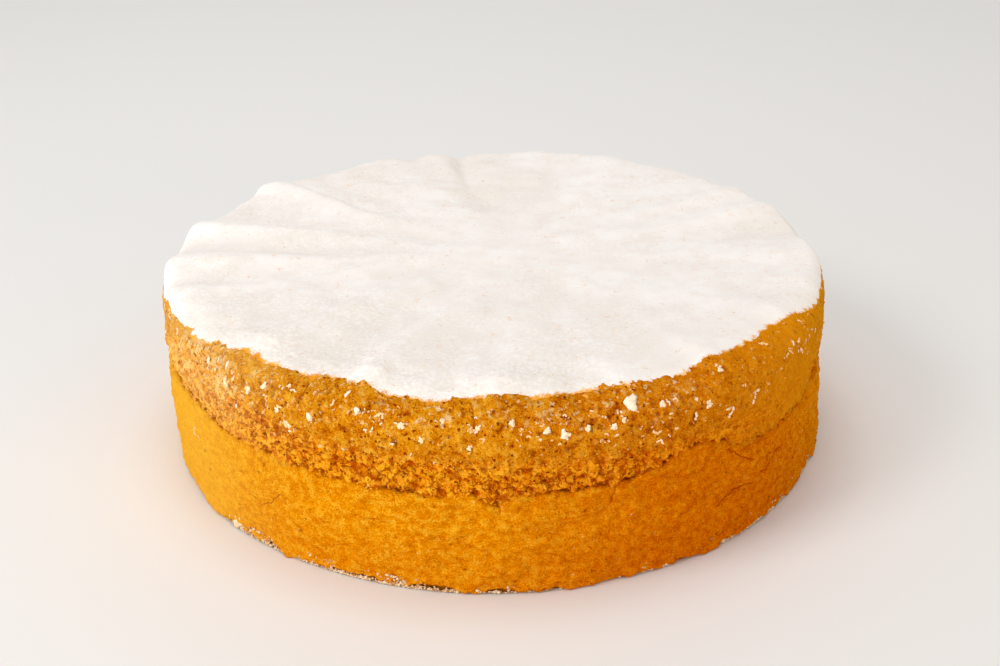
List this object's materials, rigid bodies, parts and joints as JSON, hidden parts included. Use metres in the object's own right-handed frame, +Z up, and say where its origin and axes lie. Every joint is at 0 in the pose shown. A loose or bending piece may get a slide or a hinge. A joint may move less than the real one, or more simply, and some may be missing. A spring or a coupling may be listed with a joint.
{
  "type": "margherita sponge cake",
  "caption": "Tall round uncut sponge cake with a folded top under a coat of icing sugar, a bare brown crumbly upper side and a smooth lower skin.",
  "frame": {"origin": "middle of the flat base, on the plane that the cake stands on", "axes": "+Z up through the middle of the cake, -Y towards its front, +X to the right seen from the front"},
  "size_m": [0.2619, 0.2606, 0.076],
  "materials": {
    "crust": "matt open sponge crust, orange-brown, smooth below and pitted above",
    "icing_sugar": "matt powder, off-white"
  },
  "bodies": {
    "root": {"sponge": "crust", "icing_sugar": "icing_sugar"}
  },
  "joints": []
}
